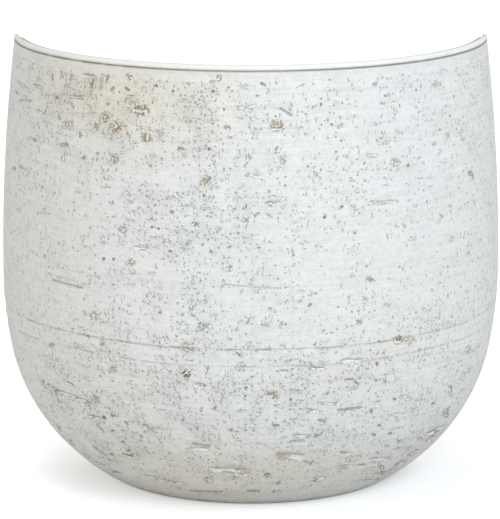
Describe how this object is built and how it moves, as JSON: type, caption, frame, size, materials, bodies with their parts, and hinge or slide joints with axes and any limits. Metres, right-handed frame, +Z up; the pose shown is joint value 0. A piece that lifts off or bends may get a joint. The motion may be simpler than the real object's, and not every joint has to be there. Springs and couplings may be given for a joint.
{
  "type": "hanging wall vase",
  "caption": "Half-round stoneware wall vase with a flat back, thrown front, rounded rim and turned rings, hung through keyholes on screws in wall plugs.",
  "frame": {"origin": "on the wall's face, midway between the two hanging screws", "axes": "+Z up, +Y into the wall, the vase's curved front faces -Y, +X to the right as seen from the room"},
  "size_m": [0.3, 0.2097, 0.2686],
  "materials": {
    "glazed_stoneware": "satin off-white glaze over coarse grogged clay, pitted and speckled",
    "back_clay": "bare buff clay at the back, satin glaze on the inside and the edges",
    "seam_clay": "satin off-white glaze",
    "screw_steel": "bright zinc plate",
    "plug_nylon": "moulded grey nylon",
    "pad_rubber": "soft translucent silicone"
  },
  "bodies": {
    "wall_fixings": {"hanging_screw_left": "screw_steel", "hanging_screw_right": "screw_steel", "wall_plug_left": "plug_nylon", "wall_plug_right": "plug_nylon"},
    "vase": {"front_bowl": "glazed_stoneware", "back_slab": "back_clay", "seam_coil": "seam_clay", "wall_pad_lower_left": "pad_rubber", "wall_pad_lower_right": "pad_rubber", "wall_pad_upper_left": "pad_rubber", "wall_pad_upper_right": "pad_rubber"}
  },
  "joints": [
    {"name": "vase_lift", "type": "slide", "parent": "wall_fixings", "child": "vase", "axis": [0, 0, 1], "range_m": [0, 0.0115]}
  ]
}
